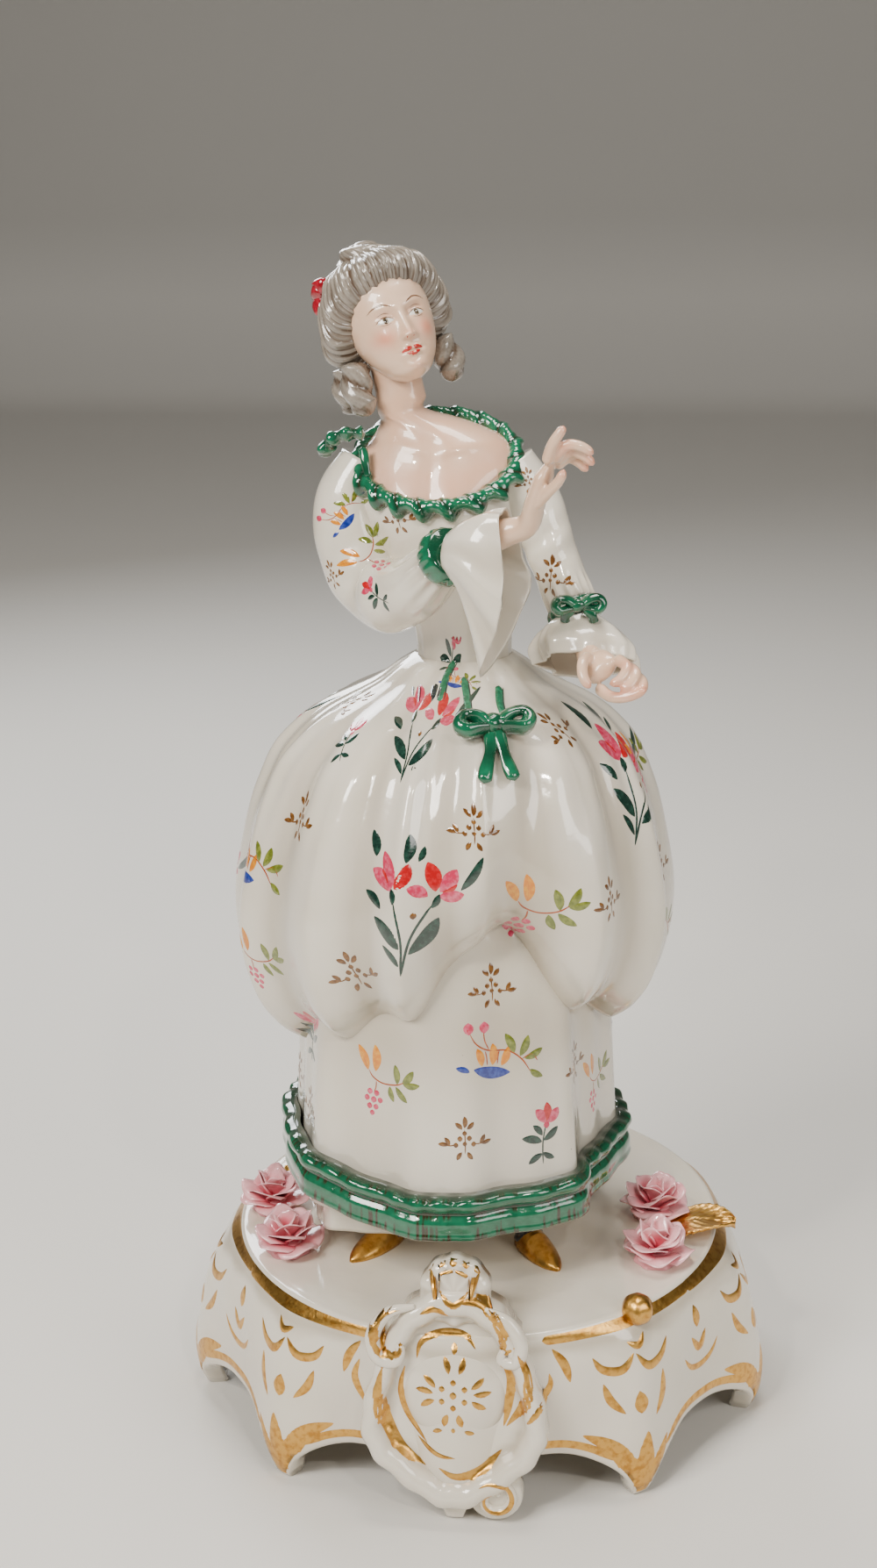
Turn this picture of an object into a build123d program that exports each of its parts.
"""A glazed porcelain lady in court dress on a scrolled base, as the pieces that are cast or hand-rolled,
then luted together with slip. Millimetres, +Z up, -Y is the front, and the origin is under
the middle of the whole piece.
Left and right are those of someone who faces the front: left is -X."""
from build123d import *
from math import cos, exp, pi, radians, sin, sqrt
import os

# ---- Driving dimensions ----
SEAM = 0.2                  # slip joint between two pieces that are cast apart

# Base
DECK_HEIGHT = 38.5
DECK_RADIUS = 50.5
DECK_THICKNESS = 4.5
BASE_WALL = 4.5
BASE_HALF_WIDTH = 61.5
BASE_HALF_DEPTH = 55.5
FOOT_COUNT = 9
FOOT_RELIEF = 5.5           # how far the wall draws back between two feet
ARCH_HEIGHT = 11.5
ARCH_WIDTH = 34.0
VENT_RADIUS = 3.0
VENT_SETBACK = 22.0         # firing vent behind the skirts' axis, through the deck into the skirt

# Front cartouche
CARTOUCHE_WIDTH = 37.0
CARTOUCHE_HEIGHT = 43.0
CARTOUCHE_RIM = 4.2         # width of its raised frame
CARTOUCHE_PLATE = 8.0       # thickness of the plate
CARTOUCHE_WELL = 2.6        # depth of its well
CARTOUCHE_RAISED = 4.0      # its foot over the table
CARTOUCHE_SUNK = 5.5        # how far its middle stands behind the base's front
CARTOUCHE_LEAN = 9.0        # degrees it leans back
CREST_RADIUS = 7.0
CREST_THICKNESS = 4.4
CREST_FLUTES = 7
VOLUTE_RADIUS = 5.5
VOLUTE_THICKNESS = 4.6
VOLUTE_OFFSET = 8.0
KNOB_RADIUS = 3.2
KNOB_ANGLE = 43.0

# Skirts
HEM_GAP = 16.0              # from the deck to the lower edge of the underskirt
SKIRT_LENGTH = 107.0        # from the hem to the waist
HEM_RADIUS = 32.8
SKIRT_WALL = 3.0
SKIRT_CENTRE = (-4.0, -1.0)
SKIRT_FOLDS = 8
SKIRT_FOLD_DEPTH = 0.7
FRILL_HEIGHT = 9.5
FRILL_PROUD = 2.6
FRILL_DROP = 0.8            # how far the frill hangs below the hem
LAP_PROUD = 3.2             # how far the front breadth laps over the right one
LAP_ANGLE = radians(50)     # where it ends, from the front
PETTICOAT_OVERLAP = 4.0     # how far the petticoat runs up inside the hem
PETTICOAT_WALL = 3.5
PETTICOAT_LOW = 2.5         # clearance over the deck at the left of the petticoat
PETTICOAT_SLOPE_X = 0.1136
PETTICOAT_SLOPE_Y = 0.2667
OVERSKIRT_HALF_WIDTH = 43.6
OVERSKIRT_HALF_DEPTH = 41.0
OVERSKIRT_RISE_SIDE = 26.0  # from the hem up to the puffs' lower edge at the back
OVERSKIRT_RISE_FRONT = 34.0  # how much higher that edge is at the front parting
OVERSKIRT_FOLDS = 13
OVERSKIRT_FOLD_DEPTH = 1.7
PARTING_DEPTH = 4.5
BODY_TURN = 18.0            # degrees the body faces to the right of the front

# Body
WAIST_HALF_WIDTH = 9.6
WAIST_HALF_DEPTH = 8.2
WAIST_OFFSET = 2.5          # the waist stands this far to the right of the skirts' axis
TORSO_LENGTH = 44.0         # waist to the root of the neck
BUST_HALF_WIDTH = 15.6
BUST_HALF_DEPTH = 11.4
NECK_RADIUS = 5.0
NECK_LENGTH = 14.0
NECK_OFFSET = 10.0          # the neck leans this far to the left of the waist
NECKLINE_SHARE = 0.88       # of the torso's length, at the shoulders
NECKLINE_SLOPE = 0.65
RUFFLE_RADIUS = 1.9

# Head
HEAD_HALF_WIDTH = 8.2
HEAD_HALF_DEPTH = 9.4
HEAD_HALF_HEIGHT = 11.4
HEAD_TURN = 26.0
HEAD_LIFT = 12.0
HEAD_ROLL = 14.0
HAIR_THICKNESS = 4.6
BUN_RADIUS = 5.2
CURL_RADIUS = 3.0

# Arms
SLEEVE_RADIUS = 7.2
LOWER_SLEEVE_RADIUS = 5.0
LEFT_BAND = 5.0             # width of the ribbon round each sleeve's end
RIGHT_BAND = 3.6
CUFF_WALL = 1.4
CUFF_DROP = 15.0            # half of the left cuff's height at its open end
CUFF_REACH = 9.8            # half width of the right cuff
WRIST_RADIUS = 2.5
FINGER_RADIUS = 1.0
FINGER_LENGTH = 8.0

# Feet
SHOE_LENGTH = 15.5
SHOE_WIDTH = 6.6
SHOE_HEIGHT = 4.6
ANKLE_RADIUS = 3.1
STANCE = 14.5               # each ankle from the line between them
STANCE_FORWARD = 14.0
TOES_OUT = 33.0

# Bows
BOW_WIDTH = 15.0
BOW_TAIL = 10.0
BOW_STANDOFF = 2.8         # the waist bow's middle over the parting, so that it just meets the puffs

# Flowers
ROSE_RADIUS = 8.2
ROSE_HEIGHT = 11.0
PETAL_THICKNESS = 1.0
PETALS = 5
LEAF_LENGTH = 14.0
LEAF_THICKNESS = 1.4

# ---- Heights that follow ----
HEM_HEIGHT = DECK_HEIGHT + HEM_GAP
WAIST_HEIGHT = HEM_HEIGHT + SKIRT_LENGTH
WAIST = Vector(SKIRT_CENTRE[0] + WAIST_OFFSET, SKIRT_CENTRE[1] + 1.5, WAIST_HEIGHT)
TURN = radians(BODY_TURN)
FRONT = Vector(sin(TURN), -cos(TURN), 0)
SIDE = Vector(cos(TURN), sin(TURN), 0)
UP = Vector(0, 0, 1)
NECK_ROOT = WAIST + Vector(-NECK_OFFSET, 0.5, TORSO_LENGTH)
HEAD_CENTRE = NECK_ROOT + Vector(-3.2, -0.4, NECK_LENGTH + 5.5)
CHEST = WAIST + Vector(-NECK_OFFSET / 2, -0.5, NECKLINE_SHARE * TORSO_LENGTH)
LEFT_SHOULDER = CHEST + Vector(-BUST_HALF_WIDTH, 1, -2)
RIGHT_SHOULDER = CHEST + Vector(BUST_HALF_WIDTH, 1, 0)


# ---- Shared shapes ----
def closed_wire(points):
    """A smooth closed wire through the points."""
    return Wire([Edge.make_spline([Vector(*p) for p in points], periodic=True)])


def ring(centre, side, depth, side_radius, depth_radius, count=12):
    """An oval wire round centre, in the plane of the two unit vectors."""
    spots = []
    for i in range(count):
        angle = 2 * pi * i / count
        spots.append(centre + side * (side_radius * cos(angle)) + depth * (depth_radius * sin(angle)))
    return closed_wire(spots)


def limb(stations, side_hint=Vector(0, 1, 0), tip=None):
    """A smooth limb through (centre, radius across, radius along the hint) stations, drawn in to a tip."""
    if tip is not None:
        stations = stations + [(tip, 0.15 * stations[-1][1], 0.15 * stations[-1][2])]
    centres = [Vector(*s[0]) for s in stations]
    wires = []
    for i, (_, across, along) in enumerate(stations):
        before, after = centres[max(i - 1, 0)], centres[min(i + 1, len(centres) - 1)]
        run = (after - before).normalized()
        hint = (side_hint - run * side_hint.dot(run)).normalized()
        wires.append(ring(centres[i], run.cross(hint), hint, across, along))
    return Solid.make_loft(wires)


def between(table, at):
    """The value at a place in a table of (place, value) rows."""
    for (a, low), (b, high) in zip(table, table[1:]):
        if at <= b:
            return low + (high - low) * (at - a) / (b - a)
    return table[-1][1]


def largest(shape):
    """The biggest solid of a cut shape."""
    return max(shape.solids(), key=lambda s: s.volume)


# ---- Base ----
BASE_FLARE = [(0, 0.8), (0.1, 0.95), (0.21, 1.0), (0.5, 0.85), (0.7, 0.68), (0.86, 0.42), (1, 0)]
BASE_LEVELS = (0, 0.14, 0.35, 0.62, 0.86, 1)


def base_radius(angle, share):
    """Outer radius of the base at an angle from the front, at a share of the deck's height."""
    oval = 1 / sqrt((sin(angle) / BASE_HALF_WIDTH) ** 2 + (cos(angle) / BASE_HALF_DEPTH) ** 2)
    foot = ((1 + cos(FOOT_COUNT * angle)) / 2) ** 1.4
    drawn_in = FOOT_RELIEF * (1 - foot) * (1 - share) ** 0.7
    return DECK_RADIUS + (oval - DECK_RADIUS) * between(BASE_FLARE, share) - drawn_in


def base_form(inset=0.0, top=DECK_HEIGHT, bottom=0.0):
    """The solid inside the base's outer wall, drawn in by inset."""
    count = FOOT_COUNT * 4
    wires = []
    for level in BASE_LEVELS:
        spots = []
        for i in range(count):
            angle = 2 * pi * i / count
            radius = base_radius(angle, level) - inset
            spots.append((radius * sin(angle), -radius * cos(angle), bottom + (top - bottom) * level))
        wires.append(closed_wire(spots))
    return Solid.make_loft(wires)


def base_arches():
    """Cutters for the arch between each two feet."""
    arch = extrude(Ellipse(ARCH_WIDTH / 2, ARCH_HEIGHT), BASE_HALF_WIDTH)
    start = Pos(0, -DECK_RADIUS / 2, 0) * Rotation(90, 0, 0) * arch
    return [Rotation(0, 0, 360 * (i + 0.5) / FOOT_COUNT) * start for i in range(FOOT_COUNT)]


def vent():
    """The firing vent, behind the middle, through the deck and the petticoat that stands on it."""
    place_of_vent = Pos(SKIRT_CENTRE[0], SKIRT_CENTRE[1] + VENT_SETBACK, DECK_HEIGHT)
    return place_of_vent * Cylinder(VENT_RADIUS, 4 * DECK_THICKNESS)


def make_base():
    hollow = base_form(BASE_WALL, DECK_HEIGHT - DECK_THICKNESS, -0.01)
    walls = base_form() - hollow - vent() - base_arches()
    return largest(walls - at_cartouche(make_plate()) - volute_disc())


def at_cartouche(shape):
    """The shape moved from the cartouche's middle to its place, leaning against the front of the base."""
    place = Pos(0, CARTOUCHE_SUNK - BASE_HALF_DEPTH, CARTOUCHE_HEIGHT / 2 + CARTOUCHE_RAISED)
    return place * Rotation(-CARTOUCHE_LEAN, 0, 0) * shape


def shield(half_width, half_height, depth):
    """A shield outline, narrow at the foot, as a plate whose face looks to -Y."""
    spots = []
    count = 24
    for i in range(count):
        angle = 2 * pi * i / count
        swell = 1 + 0.10 * cos(3 * angle + pi / 2) - 0.06 * cos(2 * angle)
        across = half_width * swell * cos(angle)
        up = half_height * sin(angle) * (1 + 0.05 * cos(4 * angle))
        spots.append((across, up, 0))
    return Rotation(90, 0, 0) * extrude(Face(closed_wire(spots)), depth)


def make_plate():
    plate = shield(CARTOUCHE_WIDTH / 2, CARTOUCHE_HEIGHT / 2, CARTOUCHE_PLATE)
    return Pos(0, CARTOUCHE_PLATE / 2, 0) * plate


def make_cartouche():
    """The plate with its well, cut back where the volute lies against it."""
    half_width = CARTOUCHE_WIDTH / 2 - CARTOUCHE_RIM
    half_height = CARTOUCHE_HEIGHT / 2 - CARTOUCHE_RIM
    well = shield(half_width, half_height, CARTOUCHE_PLATE)
    sunk = Pos(0, CARTOUCHE_WELL - CARTOUCHE_PLATE / 2, 0) * well
    room = at_volute(Pos(0, 0, VOLUTE_THICKNESS / 2) * Cylinder(VOLUTE_RADIUS, 2 * VOLUTE_THICKNESS))
    return largest(at_cartouche(make_plate() - sunk) - room)


def make_medallion():
    """The domed oval on the floor of the well."""
    floor = CARTOUCHE_WELL - CARTOUCHE_PLATE / 2
    wires = []
    for share, spread in ((0, 1.0), (0.55, 0.86), (0.9, 0.45)):
        centre = Vector(0, floor - CARTOUCHE_WELL * 1.3 * share, CARTOUCHE_HEIGHT * 0.04)
        size = CARTOUCHE_WIDTH * 0.28 * spread
        wires.append(ring(centre, Vector(1, 0, 0), UP, size, size * 1.1))
    return Solid.make_loft(wires)


def make_crest():
    """A fluted shell that stands over the cartouche, its back on the rim of the deck."""
    spots = []
    count = 6 * CREST_FLUTES
    for i in range(count):
        angle = 2 * pi * i / count
        reach = CREST_RADIUS * (1 - 0.09 * cos(2 * CREST_FLUTES * angle))
        spots.append((reach * cos(angle), reach * sin(angle), 0))
    shell = Rotation(90, 0, 0) * extrude(Face(closed_wire(spots)), CREST_THICKNESS)
    return Pos(0, CREST_THICKNESS / 2, CARTOUCHE_HEIGHT / 2) * shell


def at_volute(shape):
    """The shape moved to the middle of the scroll the cartouche ends in, above the table."""
    foot = Pos(VOLUTE_OFFSET, VOLUTE_THICKNESS / 2 - BASE_HALF_DEPTH, VOLUTE_RADIUS * 1.1)
    return foot * Rotation(90, 0, 0) * shape


def volute_disc():
    return at_volute(Cylinder(VOLUTE_RADIUS, VOLUTE_THICKNESS))


def make_volute():
    """A disc with a raised curl round a button."""
    face = VOLUTE_THICKNESS / 2
    curl = Pos(0, 0, face - 0.3) * Torus(VOLUTE_RADIUS * 0.78, VOLUTE_RADIUS * 0.2)
    button = Pos(0, 0, face - 0.3) * Sphere(VOLUTE_RADIUS * 0.3)
    return volute_disc().fuse(at_volute(curl), at_volute(button))


def make_knob():
    angle = radians(KNOB_ANGLE)
    reach = DECK_RADIUS + KNOB_RADIUS * 0.2
    middle = (reach * sin(angle), -reach * cos(angle), DECK_HEIGHT)
    return Pos(middle) * Sphere(KNOB_RADIUS)


# ---- Skirts ----
UNDERSKIRT_PROFILE = [(0, 1.0), (0.06, 0.98), (0.2, 0.96), (0.4, 0.93), (0.5, 0.88), (0.6, 0.8)]
FRILL_ROLLS = [(0, 0.4), (0.12, 0.95), (0.32, 1.0), (0.5, 0.62), (0.68, 0.95), (0.88, 0.9), (1, 0.35)]


def hem_reach(angle):
    """How far the front breadth of the skirt stands out over the right one, where it is lapped."""
    from_front = (angle + pi / 2 + pi) % (2 * pi) - pi
    rise = 1 / (1 + exp(-(from_front + radians(75)) / radians(9)))
    fall = 1 / (1 + exp((from_front - LAP_ANGLE) / radians(3)))
    return LAP_PROUD * rise * fall


def skirt_ring(height, radius, fold_depth, lap=0.0):
    """A fluted ring round the skirts' axis, with the lapped front breadth standing out."""
    count = 4 * SKIRT_FOLDS
    spots = []
    for i in range(count):
        angle = 2 * pi * i / count
        reach = radius + fold_depth * cos(SKIRT_FOLDS * angle) + lap * hem_reach(angle)
        x = SKIRT_CENTRE[0] + reach * cos(angle)
        y = SKIRT_CENTRE[1] + reach * 1.05 * sin(angle)
        spots.append((x, y, height))
    return closed_wire(spots)


def underskirt_form(inset=0.0, overrun=0.0):
    """The solid inside the underskirt's outer face, drawn in by inset and carried on past both ends."""
    rows = [(share, width, 0) for share, width in UNDERSKIRT_PROFILE]
    if overrun > 0:
        rows = [(*UNDERSKIRT_PROFILE[0], -overrun)] + rows + [(*UNDERSKIRT_PROFILE[-1], overrun)]
    wires = []
    for share, width, past in rows:
        depth = SKIRT_FOLD_DEPTH * (1 - share)
        height = HEM_HEIGHT + share * SKIRT_LENGTH + past
        wires.append(skirt_ring(height, HEM_RADIUS * width - inset, depth, 1 - share / 0.6))
    return Solid.make_loft(wires)


def make_frill():
    """The gathered green band round the hem, in two rolls."""
    wires = []
    for share, proud in FRILL_ROLLS:
        height = HEM_HEIGHT - FRILL_DROP + share * FRILL_HEIGHT
        wires.append(skirt_ring(height, HEM_RADIUS + FRILL_PROUD * proud, SKIRT_FOLD_DEPTH, 1))
    return largest(Solid.make_loft(wires) - underskirt_form(-SEAM, 2 * FRILL_DROP))


def petticoat_cut(rise):
    """The slope under the petticoat, which lies on the deck behind and clears the shoes in front."""
    low = (SKIRT_CENTRE[0] - HEM_RADIUS, SKIRT_CENTRE[1] - 7, DECK_HEIGHT + PETTICOAT_LOW + rise)
    return Plane(origin=low, z_dir=(-PETTICOAT_SLOPE_X, PETTICOAT_SLOPE_Y, 1))


def petticoat_floor(spot):
    """Height of the petticoat's underside over a spot."""
    low = petticoat_cut(0).origin
    return low.Z + PETTICOAT_SLOPE_X * (spot.X - low.X) - PETTICOAT_SLOPE_Y * (spot.Y - low.Y)


def make_petticoat():
    """A cup that stands on the deck behind, closes the skirt's foot and runs up inside its hem."""
    radius = HEM_RADIUS - SKIRT_WALL - SEAM
    wires = []
    for height in (DECK_HEIGHT, HEM_HEIGHT, HEM_HEIGHT + PETTICOAT_OVERLAP):
        tuck = 0.02 * HEM_RADIUS * max(height - HEM_HEIGHT, 0) / PETTICOAT_OVERLAP
        wires.append(skirt_ring(height, radius - tuck, SKIRT_FOLD_DEPTH * 0.9, 0.9))
    cup = Solid.make_loft(wires).split(petticoat_cut(0), keep=Keep.TOP)
    well = Pos(*SKIRT_CENTRE, HEM_HEIGHT) * Cylinder(radius * 0.96 - PETTICOAT_WALL, 4 * HEM_GAP)
    well = well.split(petticoat_cut(PETTICOAT_WALL), keep=Keep.TOP)
    floor = Box(4 * HEM_RADIUS, 4 * HEM_RADIUS, 4 * HEM_GAP, align=(Align.CENTER, Align.CENTER, Align.MIN))
    return largest(cup - (well & Pos(0, 0, DECK_HEIGHT + PETTICOAT_WALL) * floor) - vent())


OVERSKIRT_PROFILE = [
    (0.06, 0.20), (0.13, 0.50), (0.21, 0.70), (0.33, 0.84),
    (0.5, 0.95), (0.67, 1.0), (0.8, 0.96), (0.91, 0.86),
    (1.0, 0.66),
]
OVERSKIRT_CAVITY = [(0, 0.608), (0.78, 0.608), (0.78, 0.706), (0.585, 0.855), (0.24, 0.93), (0, 0.93)]


def overskirt_edge(turned):
    """Height of the puffs' lower edge at an angle from the parting."""
    near = exp(-((turned / radians(18)) ** 2))
    wide = exp(-((turned / radians(70)) ** 2))
    return HEM_HEIGHT + OVERSKIRT_RISE_SIDE + OVERSKIRT_RISE_FRONT * (near + wide) / 2


def overskirt_spot(angle, drop, width):
    """A point of the overskirt: angle from the parting, drop from the waist to the lower edge."""
    height = WAIST_HEIGHT + (overskirt_edge(angle) - WAIST_HEIGHT) * drop
    phase = OVERSKIRT_FOLDS * angle + 0.9 * sin(2 * angle + 0.7) + 0.5 * sin(5 * angle + 2)
    fold = OVERSKIRT_FOLD_DEPTH * width * (0.55 + 0.45 * drop) * (cos(phase) - 0.3)
    parting = PARTING_DEPTH * drop * width * exp(-((angle / radians(13)) ** 2))
    reach_x = WAIST_HALF_WIDTH + (OVERSKIRT_HALF_WIDTH - WAIST_HALF_WIDTH) * width + fold - parting
    reach_y = WAIST_HALF_DEPTH + (OVERSKIRT_HALF_DEPTH - WAIST_HALF_DEPTH) * width + fold - parting
    middle_x = WAIST.X + (SKIRT_CENTRE[0] - WAIST.X) * width
    middle_y = WAIST.Y + (SKIRT_CENTRE[1] - WAIST.Y) * width
    return (middle_x + reach_x * sin(angle + TURN), middle_y - reach_y * cos(angle + TURN), height)


def overskirt_form():
    """The solid inside the overskirt's face, turned in under the puffs and closed inside the underskirt."""
    count = 5 * OVERSKIRT_FOLDS
    wires = [ring(WAIST, FRONT, SIDE, WAIST_HALF_WIDTH, WAIST_HALF_WIDTH, count)]
    for drop, width in OVERSKIRT_PROFILE:
        spots = []
        for i in range(count):
            angle = 2 * pi * i / count
            angle = angle - 2 * pi if angle > pi else angle
            spots.append(overskirt_spot(angle, drop, width))
        wires.append(closed_wire(spots))
    closing = Vector(*SKIRT_CENTRE, HEM_HEIGHT + SKIRT_LENGTH * 0.45)
    wires.append(ring(closing, FRONT, SIDE, HEM_RADIUS * 0.6, HEM_RADIUS * 0.6, count))
    return Solid.make_loft(wires)


def make_overskirt(over, underskirt):
    """The puffs, hollow over the open top of the underskirt and, behind, down around it."""
    spots = []
    for reach, share in OVERSKIRT_CAVITY:
        x = SKIRT_CENTRE[0] + reach * OVERSKIRT_HALF_DEPTH
        spots.append((x, SKIRT_CENTRE[1], HEM_HEIGHT + share * SKIRT_LENGTH))
    axis = Axis((*SKIRT_CENTRE, 0), (0, 0, 1))
    cavity = revolve(make_face(Polyline(*spots, close=True)), axis, 360)
    behind = Cylinder(OVERSKIRT_HALF_DEPTH * 0.73, SKIRT_LENGTH * 0.28)
    behind = Pos(SKIRT_CENTRE[0] - 1, SKIRT_CENTRE[1] + 6, HEM_HEIGHT + SKIRT_LENGTH * 0.47) * behind
    return over - underskirt - cavity - behind


# ---- Body ----
TORSO_ROWS = [
    (-0.08, 0, 0, 0.60, 0.70), (0.08, 0, -0.5, 0.60, 0.66), (0.31, -1, -1, 0.71, 0.79),
    (0.53, -3, -1.5, 0.90, 0.97), (0.72, -5, -1, 1.0, 1.0), (0.87, -5, 0, 1.02, 0.82),
    (0.98, -5, 0.4, 0.74, 0.66), (1.04, -8, 0.5, 0.48, 0.52),
]
NECK_ROWS = [
    (0.22, -0.8, -0.2, 1.03), (0.45, -1.5, -0.3, 0.96), (0.68, -2.1, -0.4, 0.95), (0.92, -2.6, -0.4, 0.95),
    (1.15, -3, -0.4, 0.95),
]


def torso_form():
    """Waist, bust, shoulders and neck in one, up into the head."""
    wires = []
    for share, shift_x, shift_y, width, depth in TORSO_ROWS:
        centre = WAIST + Vector(shift_x, shift_y, share * TORSO_LENGTH)
        across = BUST_HALF_WIDTH * width
        wires.append(ring(centre, Vector(1, 0, 0), Vector(0, 1, 0), across, BUST_HALF_DEPTH * depth))
    for share, shift_x, shift_y, width in NECK_ROWS:
        centre = NECK_ROOT + Vector(shift_x, shift_y, share * NECK_LENGTH)
        reach = NECK_RADIUS * width
        wires.append(ring(centre, Vector(1, 0, 0), Vector(0, 1, 0), reach, reach))
    return Solid.make_loft(wires)


def neckline_height(y):
    return CHEST.Z + NECKLINE_SLOPE * (y - CHEST.Y + 1.6)


def neckline_plane():
    return Plane(origin=(CHEST.X, 0, neckline_height(0)), z_dir=(0, -NECKLINE_SLOPE, 1))


def make_ruffle():
    """The rolled ruffle that lies along the neckline."""
    count = 16
    spots = []
    for i in range(count):
        angle = 2 * pi * i / count
        x = CHEST.X + 0.7 + BUST_HALF_WIDTH * 0.96 * cos(angle)
        y = CHEST.Y - 2.4 + BUST_HALF_DEPTH * 0.93 * sin(angle)
        spots.append((x, y, neckline_height(y)))
    path = closed_wire(spots)
    start = path @ 0
    section = Plane(origin=start, z_dir=path % 0) * Circle(RUFFLE_RADIUS)
    return sweep(section, path=path).solid()


# ---- Head and hair ----
HEAD_ROWS = [
    (-1.0, -0.62, -0.22, 0.16), (-0.93, -0.80, 0.02, 0.36), (-0.74, -0.92, 0.30, 0.62),
    (-0.48, -0.95, 0.62, 0.83), (-0.17, -0.96, 0.92, 0.96),
    (0.18, -0.96, 1.00, 1.00), (0.53, -0.89, 0.97, 0.93), (0.84, -0.60, 0.78, 0.70),
    (0.97, -0.28, 0.48, 0.38),
]


def at_head(shape):
    """The shape moved from the head's own frame, face to -Y, to its turned, lifted and tilted place."""
    tilt = Rotation(0, -HEAD_ROLL, 0) * Rotation(0, 0, HEAD_TURN) * Rotation(-HEAD_LIFT, 0, 0)
    return Pos(HEAD_CENTRE) * tilt * shape


def make_head():
    """Skull and jaw, in the head's own frame."""
    sections = []
    for height, front, back, width in HEAD_ROWS:
        centre = Vector(0, HEAD_HALF_DEPTH * (front + back) / 2, HEAD_HALF_HEIGHT * height)
        depth = HEAD_HALF_DEPTH * (back - front) / 2
        sections.append(ring(centre, Vector(1, 0, 0), Vector(0, 1, 0), HEAD_HALF_WIDTH * width, depth))
    return Solid.make_loft(sections)


HAIR_ROWS = [
    (-0.75, 0.15, 0.80, 0.75), (-0.50, -0.25, 1.10, 1.12),
    (-0.15, -0.50, 1.26, 1.34), (0.30, -0.75, 1.34, 1.38),
    (0.70, -0.98, 1.30, 1.24), (1.00, -0.98, 1.12, 0.98), (1.16, -0.72, 0.90, 0.70),
]
HAIR_TOP = 1.16


def make_hair():
    """Hair combed up off the face and out over the ears, in the head's own frame."""
    thicker = HAIR_THICKNESS / 3.6
    wires = []
    for height, front, back, width in HAIR_ROWS:
        middle = HEAD_HALF_DEPTH * (front + back) / 2
        depth = HEAD_HALF_DEPTH * (1 + ((back - front) / 2 - 1) * thicker)
        across = HEAD_HALF_WIDTH * (1 + (width - 1) * thicker)
        centre = Vector(0, middle, HEAD_HALF_HEIGHT * height)
        wires.append(ring(centre, Vector(1, 0, 0), Vector(0, 1, 0), across, depth))
    front = extrude(Ellipse(HEAD_HALF_WIDTH * 0.90, HEAD_HALF_HEIGHT * 1.25), 3 * HEAD_HALF_DEPTH)
    opening = Pos(0, -HEAD_HALF_DEPTH * 0.12, -HEAD_HALF_HEIGHT * 0.5) * Rotation(90, 0, 0) * front
    return Solid.make_loft(wires) - opening


def neck_room():
    """The room that the leaning neck takes up under the hair."""
    share, left, forward, _ = NECK_ROWS[-1]
    run = Vector(left, forward, share * NECK_LENGTH)
    column = Cylinder(NECK_RADIUS * 1.14, 2 * run.length)
    return Plane(origin=NECK_ROOT + run * 0.3, z_dir=run).location * column


def make_bun():
    """The knot of hair on top of the combed-up hair."""
    foot = Vector(0, 0.1 * HEAD_HALF_DEPTH, HAIR_TOP * HEAD_HALF_HEIGHT)
    wires = []
    for rise, width in ((0, 0.9), (0.35, 1.0), (0.62, 0.72), (0.78, 0.2)):
        centre = foot + Vector(-0.2 * rise, 0.5 * rise, rise) * BUN_RADIUS
        reach = BUN_RADIUS * width
        wires.append(ring(centre, Vector(1, 0, 0), Vector(0, 1, 0), reach, reach * 0.9))
    return Solid.make_loft(wires)


def make_curl(sign, drop, setback):
    """A sausage curl hanging behind one ear, in the head's own frame."""
    x = sign * (HEAD_HALF_WIDTH + 1.3)
    top = -0.55 * HEAD_HALF_HEIGHT
    y = setback * HEAD_HALF_DEPTH
    stations = [
        ((x, y, top), CURL_RADIUS * 0.8, CURL_RADIUS * 0.8),
        ((x * 1.02, y, top - drop * 0.35), CURL_RADIUS, CURL_RADIUS),
        ((x * 0.98, y, top - drop * 0.8), CURL_RADIUS * 0.85, CURL_RADIUS * 0.85),
    ]
    return limb(stations, tip=(x * 0.95, y, top - drop))


# ---- Arms ----
def stretch(start, *moves):
    """Points reached one after another from start by the moves."""
    spots = [start]
    for move in moves:
        spots.append(spots[-1] + Vector(*move))
    return spots


def left_arm_line():
    """Shoulder, outer arm, elbow, forearm and band, with the forearm brought up across the body."""
    start = LEFT_SHOULDER + Vector(2.5, -1.5, 1.5)
    return stretch(start, (-3.5, -1, -8), (1.2, -1.5, -9.5), (5, -3.5, -7), (7, -8, 2.5), (6.5, -7.5, 7))


def right_arm_line():
    """Shoulder, upper arm, elbow and band, hanging at the right."""
    start = RIGHT_SHOULDER + Vector(-1.5, -1.5, -1)
    return stretch(start, (4, 0, -7), (3.5, -1.5, -8), (3, -2.5, -7), (2, -2.5, -4))


LEFT_SLEEVE = (0.72, 0.94, 1.0, 1.0, 0.86, 0.64)
RIGHT_SLEEVE = (0.7, 0.78, 0.76, 0.68, 0.64)


def make_sleeve(line, widths):
    stations = []
    for spot, width in zip(line, widths):
        stations.append((spot, SLEEVE_RADIUS * width, SLEEVE_RADIUS * width))
    return limb(stations)


def sleeve_band(start, run, radius, width):
    """A ribbon round the end of a sleeve, from start on along the run."""
    stations = [
        (start, radius * 0.92, radius * 0.92),
        (start + run * (width / 2), radius * 1.12, radius * 1.12),
        (start + run * width, radius * 0.92, radius * 0.92),
    ]
    return limb(stations, UP)


def bell(start, rings, side, up):
    """A hollow flared cuff from a small round at start, through (centre, half height, half depth) rings."""
    small = LOWER_SLEEVE_RADIUS * 0.86
    outer = [ring(start, side, up, small, small)]
    inner = [ring(start, side, up, small - CUFF_WALL, small - CUFF_WALL)]
    for centre, high, deep in rings:
        outer.append(ring(centre, side, up, deep, high))
        inner.append(ring(centre, side, up, deep - CUFF_WALL, high - CUFF_WALL))
    return Solid.make_loft(outer) - Solid.make_loft(inner)


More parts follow.
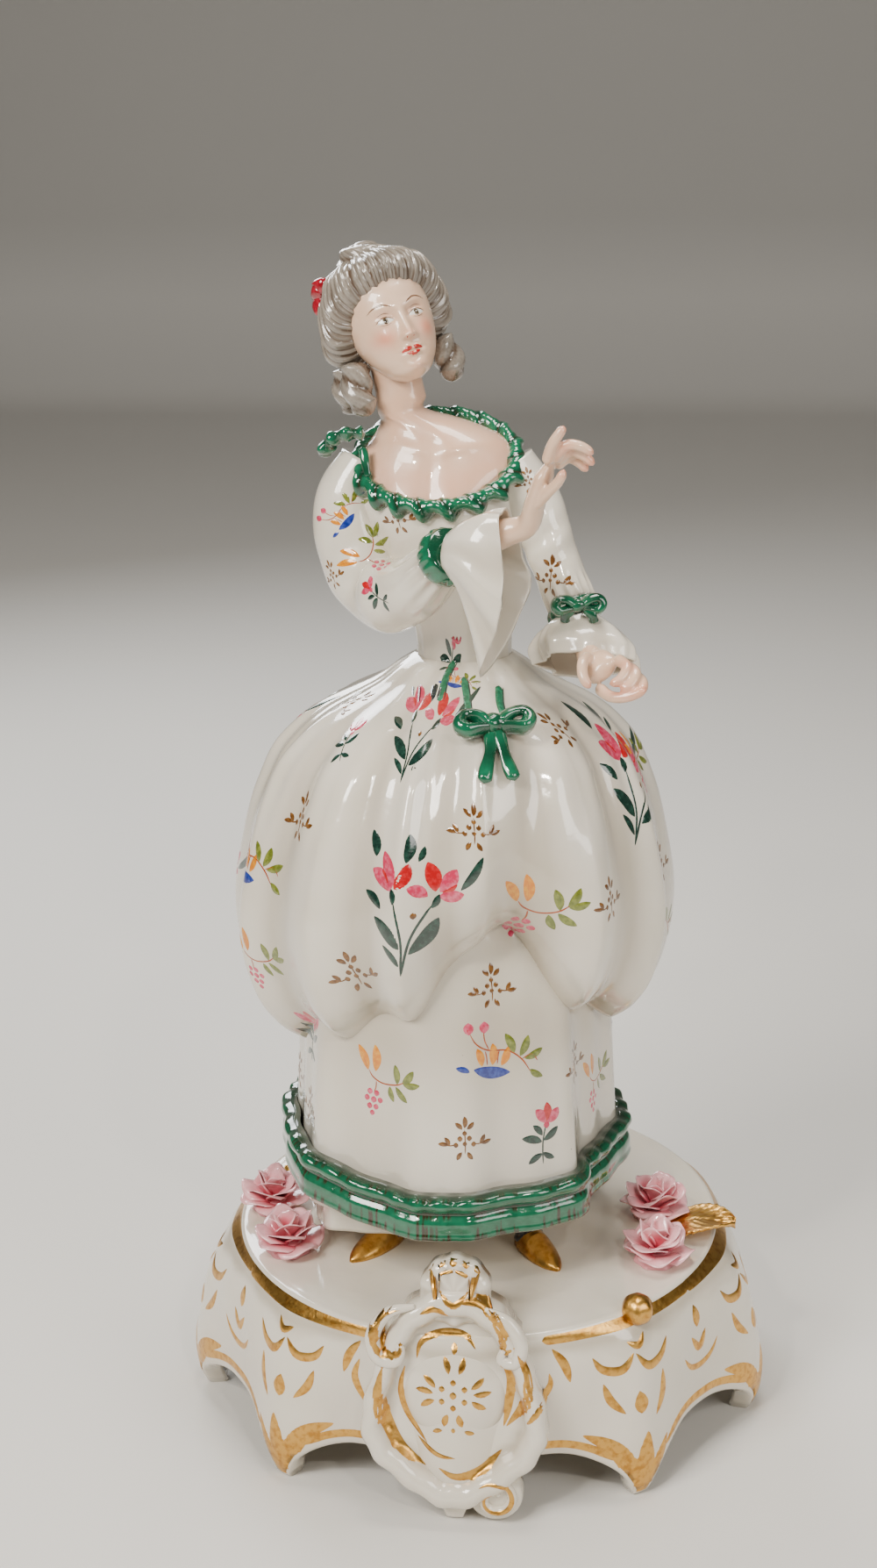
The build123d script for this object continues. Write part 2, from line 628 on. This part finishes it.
def make_left_cuff(start):
    """The deep flounce that falls from the left band, its open end turned to the right."""
    side = Vector(-0.35, -0.9, 0).normalized()
    rings = [
        (start + Vector(4.5, -3.0, 0.6), CUFF_DROP * 0.40, LOWER_SLEEVE_RADIUS * 1.0),
        (start + Vector(6.8, -3.9, -2.8), CUFF_DROP * 0.68, LOWER_SLEEVE_RADIUS * 1.2),
        (start + Vector(8.8, -4.4, -6.8), CUFF_DROP, LOWER_SLEEVE_RADIUS * 1.35),
    ]
    return bell(start, rings, side, UP)


def make_right_cuff(start):
    """The puffed flounce under the right band, its open end turned down to the front."""
    side = Vector(-1, 0, 0)
    up = Vector(0, -0.75, 0.66).normalized()
    rings = [
        (start + Vector(0.4, -1.7, -2.2), CUFF_REACH * 0.55, CUFF_REACH * 0.80),
        (start + Vector(1.0, -3.6, -4.6), CUFF_REACH * 0.65, CUFF_REACH),
        (start + Vector(1.6, -5.4, -7.0), CUFF_REACH * 0.60, CUFF_REACH * 0.94),
    ]
    return bell(start, rings, side, up)


def make_finger(root, moves, radius):
    """A finger through its joints, rounded at the tip."""
    spots = stretch(root, *moves)
    stations = []
    for i, spot in enumerate(spots[:-1]):
        stations.append((spot, radius * (1 - 0.1 * i), radius * (1 - 0.1 * i)))
    return limb(stations, Vector(0.3, 1, 0.2), spots[-1])


def make_left_hand(band_end):
    """Forearm, palm held up, fingers bent over to the right."""
    wrist = band_end + Vector(14.0, -4.9, 6.2)
    palm = [
        (band_end, WRIST_RADIUS * 0.9, WRIST_RADIUS * 0.9),
        (band_end + (wrist - band_end) * 0.3, WRIST_RADIUS * 1.15, WRIST_RADIUS * 1.15),
        (band_end + (wrist - band_end) * 0.65, WRIST_RADIUS * 1.1, WRIST_RADIUS * 1.1),
        (wrist, WRIST_RADIUS, WRIST_RADIUS * 0.95),
        (wrist + Vector(2.4, -1.2, 4.6), WRIST_RADIUS * 0.8, WRIST_RADIUS * 1.25),
        (wrist + Vector(4.0, -2.6, 10.2), WRIST_RADIUS * 0.62, WRIST_RADIUS * 1.4),
        (wrist + Vector(4.8, -3.4, 14.6), WRIST_RADIUS * 0.45, WRIST_RADIUS * 1.3),
    ]
    parts = [limb(palm, Vector(0.3, -1, 0.1))]
    step = FINGER_LENGTH / 3
    for i in range(4):
        root = wrist + Vector(4.8 + 0.15 * i, -5.7 + 1.5 * i, 13.6)
        bend = 1.0 - 0.32 * i
        rise = (step * 0.7, 0, step * 0.8)
        level = (step * 1.1, 0, -step * 0.1 * bend)
        moves = [rise, level, (step * 1.0, 0, -step * 0.75 * bend)]
        parts.append(make_finger(root, moves, FINGER_RADIUS))
    thumb = [(step * 0.7, -0.6, step * 0.55), (step * 0.8, -0.4, step * 0.3), (step * 0.6, 0, step * 0.1)]
    parts.append(make_finger(wrist + Vector(3.0, -3.4, 7.0), thumb, FINGER_RADIUS * 1.1))
    return parts[0].fuse(*parts[1:])


def make_right_hand(band_end):
    """A hand held out over the skirt, palm turned to the front and the fingers spread to the right."""
    wrist = band_end + Vector(2.8, -9.8, -5.0)
    palm = [
        (band_end, WRIST_RADIUS * 0.9, WRIST_RADIUS * 0.9),
        (band_end + (wrist - band_end) * 0.5, WRIST_RADIUS * 1.1, WRIST_RADIUS * 1.1),
        (wrist, WRIST_RADIUS, WRIST_RADIUS),
        (wrist + Vector(1.4, -3.6, -0.6), WRIST_RADIUS * 0.85, WRIST_RADIUS * 1.3),
        (wrist + Vector(3.4, -7.4, -0.9), WRIST_RADIUS * 0.62, WRIST_RADIUS * 1.6),
        (wrist + Vector(5.2, -10.2, -1.0), WRIST_RADIUS * 0.4, WRIST_RADIUS * 1.5),
    ]
    parts = [limb(palm, Vector(0.7, 0.3, 0.6))]
    step = FINGER_LENGTH / 3
    for i in range(4):
        root = wrist + Vector(3.6 + 0.75 * i, -9.6 + 0.25 * i, -3.2 + 1.45 * i)
        spread = -0.25 + 0.2 * i
        first = (step * 0.8, -step * 0.5, spread * step)
        second = (step, -step * 0.25, spread * step)
        moves = [first, second, (step, 0, -0.2 * step)]
        parts.append(make_finger(root, moves, FINGER_RADIUS))
    ball = (step * 0.5, -step * 0.9, step * 0.5)
    thumb = [ball, (step * 0.5, -step * 0.8, step * 0.3), (step * 0.4, -step * 0.5, 0)]
    parts.append(make_finger(wrist + Vector(1.6, -5.0, 1.6), thumb, FINGER_RADIUS * 1.1))
    return parts[0].fuse(*parts[1:])


# ---- Bows ----
def make_bow(width, tail):
    """A flat tied bow that faces -Y, with two hanging tails, and a round knot."""
    half = [(0, 0.09), (0.14, 0.2), (0.34, 0.3), (0.48, 0.22), (0.5, 0.06), (0.36, -0.05), (0.12, -0.07)]
    half = [(x * width, z * width) for x, z in half]
    if tail > 0:
        half += [(0.25 * width, -tail), (0.13 * width, -tail)]
    half.append((0, -0.1 * width))
    outline = half + [(-x, z) for x, z in reversed(half[1:-1])]
    wire = Wire.make_polygon([Vector(x, 0, z) for x, z in outline], close=True)
    ribbon = extrude(Face(wire), amount=width * 0.09, dir=(0, -1, 0), both=True)
    return ribbon.solid().fuse(Sphere(width * 0.13).solid())


def make_waist_bow():
    """The green bow over the parting, lying on the slope of the puffs."""
    knot = Vector(*overskirt_spot(0, 0.17, 0.6))
    below = Vector(*overskirt_spot(0, 0.3, 0.8))
    slope = (below - knot).normalized()
    outward = FRONT - slope * FRONT.dot(slope)
    outward = outward.normalized()
    plane = Plane(origin=knot + outward * BOW_STANDOFF, x_dir=SIDE, z_dir=slope * -1)
    return plane.location * make_bow(BOW_WIDTH, BOW_TAIL)


# ---- Shoes ----
def shoe_place(sign):
    """Where an ankle stands on the deck, and the way its toe points."""
    turn = radians(TOES_OUT) * sign
    ankle = Vector(SKIRT_CENTRE[0] + 1.3 + sign * STANCE, -STANCE_FORWARD, DECK_HEIGHT)
    return ankle, Vector(sin(turn), -cos(turn), 0)


def make_shoe(sign):
    """A pointed court shoe, its sole flat on the deck."""
    ankle, toe = shoe_place(sign)
    heel = ankle - toe * (SHOE_LENGTH * 0.2)
    rows = [(0.0, 0.62, 0.8), (0.2, 0.92, 1.0), (0.42, 1.0, 0.95), (0.7, 0.86, 0.62), (0.9, 0.5, 0.38)]
    stations = []
    for share, width, height in rows:
        middle = heel + toe * (SHOE_LENGTH * share)
        stations.append((middle, SHOE_WIDTH / 2 * width, SHOE_HEIGHT * height))
    shoe = limb(stations, UP, heel + toe * SHOE_LENGTH + UP * 0.3)
    return shoe.split(Plane(origin=(0, 0, DECK_HEIGHT), z_dir=(0, 0, 1)), keep=Keep.TOP)


def make_stocking(sign):
    """The dark ankle between a shoe and the petticoat."""
    ankle, toe = shoe_place(sign)
    top = petticoat_floor(ankle - toe * 1.5) + PETTICOAT_WALL * 0.6 - DECK_HEIGHT
    stations = [
        (ankle + UP * 1.5, ANKLE_RADIUS, ANKLE_RADIUS),
        (ankle - toe * 0.5 + UP * (top * 0.4), ANKLE_RADIUS * 0.88, ANKLE_RADIUS * 0.88),
        (ankle - toe * 1.5 + UP * top, ANKLE_RADIUS, ANKLE_RADIUS),
    ]
    return limb(stations)


# ---- Flowers ----
def make_petal():
    """A thin round petal, the lens shared by two balls, standing in the XZ plane."""
    radius = ROSE_RADIUS * 0.46
    ball = (radius ** 2 + PETAL_THICKNESS ** 2) / (2 * PETAL_THICKNESS)
    offset = ball - PETAL_THICKNESS
    return Pos(0, offset, 0) * Sphere(ball) & Pos(0, -offset, 0) * Sphere(ball)


def make_rose():
    """An open rose on a clay pad, standing on z = 0."""
    petal = make_petal()
    parts = [Pos(0, 0, ROSE_HEIGHT * 0.07) * Cylinder(ROSE_RADIUS * 0.5, ROSE_HEIGHT * 0.14)]
    parts.append(Pos(0, 0, ROSE_HEIGHT * 0.36) * Sphere(ROSE_HEIGHT * 0.26))
    for tier, (lean, reach, height) in enumerate([(48, 0.56, 0.36), (20, 0.36, 0.60)]):
        for i in range(PETALS):
            turn = 360 * (i + 0.5 * tier) / PETALS
            tilt = Pos(0, -ROSE_RADIUS * reach, ROSE_HEIGHT * height) * Rotation(lean, 0, 0)
            parts.append(Rotation(0, 0, turn) * tilt * petal)
    rose = parts[0].fuse(*parts[1:])
    return rose.split(Plane.XY, keep=Keep.TOP)


def make_leaf(length):
    """A pointed, veined leaf that springs from z = 0 and bends out along +X."""
    rows = [(0.0, 0.3, 0.0), (0.25, 0.9, 0.10), (0.5, 1.0, 0.17), (0.75, 0.74, 0.16)]
    stations = []
    for share, width, rise in rows:
        middle = (length * share, 0, length * rise + LEAF_THICKNESS * 0.3)
        stations.append((middle, LEAF_THICKNESS / 2, length * 0.3 * width))
    leaf = limb(stations, Vector(0, 1, 0), (length, 0, length * 0.08))
    return leaf.split(Plane.XY, keep=Keep.TOP)


def on_deck(shape, x, y, turn=0.0):
    return Pos(x, y, DECK_HEIGHT) * Rotation(0, 0, turn) * shape


ROSES = {
    "left_rear_rose": (-0.865, -0.06, 10),
    "left_front_rose": (-0.74, -0.40, 50),
    "right_rear_rose": (0.74, 0.0, 25),
    "right_front_rose": (0.755, -0.355, 0),
}


def main():
    os.makedirs("parts", exist_ok=True)
    pieces = {}

    def place(name, solid, *neighbours):
        """Keep a piece, bedded against the neighbours already placed."""
        for neighbour in neighbours:
            solid = solid - pieces[neighbour]
        pieces[name] = largest(solid)

    place("scroll_base", make_base())
    place("cartouche_frame", make_cartouche())
    place("cartouche_medallion", at_cartouche(make_medallion()))
    place("cartouche_crest", at_cartouche(make_crest()), "cartouche_frame", "scroll_base")
    place("foot_volute", make_volute())
    place("rim_knob", make_knob(), "scroll_base")

    underskirt = underskirt_form()
    place("underskirt", underskirt - underskirt_form(SKIRT_WALL, 0.5))
    place("hem_frill", make_frill())
    place("petticoat", make_petticoat())
    over = overskirt_form()
    place("overskirt", make_overskirt(over, underskirt))

    for sign, side in ((-1, "left"), (1, "right")):
        place(f"{side}_shoe", make_shoe(sign))
        place(f"{side}_stocking", make_stocking(sign), "petticoat", f"{side}_shoe")

    torso = torso_form()
    place("bodice", torso.split(neckline_plane(), keep=Keep.BOTTOM) - over)
    place("head", at_head(make_head()))
    place("bust_and_neck", torso.split(neckline_plane(), keep=Keep.TOP), "head")
    place("hair", at_head(make_hair()) - neck_room(), "head")
    place("hair_bun", at_head(make_bun()))
    curls = (("left_front_curl", -1, 9.0, 0.1), ("left_back_curl", -1, 7.5, 0.8), ("right_curl", 1, 7.5, 0.3))
    for name, sign, drop, setback in curls:
        place(name, at_head(make_curl(sign, drop, setback)) - torso, "hair")
    hair_bow = Pos(-1.42 * HEAD_HALF_WIDTH, 0.6 * HEAD_HALF_DEPTH, 0.8 * HEAD_HALF_HEIGHT)
    hair_bow = hair_bow * Rotation(0, 30, -60)
    place("hair_bow", at_head(hair_bow * make_bow(BOW_WIDTH * 0.55, 0)), "hair")

    place("neckline_ruffle", make_ruffle() - torso)
    left = left_arm_line()
    left_run = (left[-1] - left[-2]).normalized()
    left_end = left[-1] + left_run * LEFT_BAND
    place("left_sleeve", make_sleeve(left, LEFT_SLEEVE) - torso, "neckline_ruffle")
    place("left_sleeve_band", sleeve_band(left[-1], left_run, LOWER_SLEEVE_RADIUS, LEFT_BAND))
    place("left_cuff", make_left_cuff(left_end), "left_sleeve_band")
    place("left_hand", make_left_hand(left_end), "left_sleeve_band", "left_cuff")

    right = right_arm_line()
    right_run = (right[-1] - right[-2]).normalized()
    right_end = right[-1] + right_run * RIGHT_BAND
    place("right_sleeve", make_sleeve(right, RIGHT_SLEEVE) - torso, "neckline_ruffle")
    place("right_sleeve_band", sleeve_band(right[-1], right_run, LOWER_SLEEVE_RADIUS, RIGHT_BAND))
    knot = right[-1] + right_run * (RIGHT_BAND / 2) + Vector(0.8, -LOWER_SLEEVE_RADIUS - 0.6, 2.4)
    place("right_sleeve_bow", Pos(knot) * make_bow(BOW_WIDTH * 0.6, 0), "right_sleeve_band", "right_sleeve")
    place("right_cuff", make_right_cuff(right_end), "right_sleeve_band")
    place("right_hand", make_right_hand(right_end), "right_sleeve_band", "right_cuff")
    shoulder = [
        (LEFT_SHOULDER + Vector(3, -5.5, 5.5), RUFFLE_RADIUS * 0.8, RUFFLE_RADIUS * 0.8),
        (LEFT_SHOULDER + Vector(-2, -4.2, 5.0), RUFFLE_RADIUS, RUFFLE_RADIUS),
        (LEFT_SHOULDER + Vector(-5.2, -2, 2.0), RUFFLE_RADIUS * 0.8, RUFFLE_RADIUS * 0.8),
    ]
    place("left_shoulder_ribbon", limb(shoulder, UP) - torso, "left_sleeve", "neckline_ruffle")
    place("waist_bow", make_waist_bow())

    rose = make_rose()
    for name, (x, y, turn) in ROSES.items():
        neighbours = [p for p in pieces if p.endswith("rose")]
        place(name, on_deck(rose, x * DECK_RADIUS, y * DECK_RADIUS, turn), "petticoat", *neighbours)
    right_leaf = on_deck(make_leaf(LEAF_LENGTH), 0.80 * DECK_RADIUS, -0.10 * DECK_RADIUS, -8)
    place("right_leaf", right_leaf, *ROSES)
    left_leaf = on_deck(make_leaf(LEAF_LENGTH * 0.7), -0.80 * DECK_RADIUS, 0.08 * DECK_RADIUS, 80)
    place("left_leaf", left_leaf, *ROSES)
    box = Compound(list(pieces.values())).bounding_box()
    to_origin = Pos(-(box.min.X + box.max.X) / 2, -(box.min.Y + box.max.Y) / 2, -box.min.Z)
    for name, piece in pieces.items():
        export_step(to_origin * piece, f"parts/{name}.step")


if __name__ == "__main__":
    main()
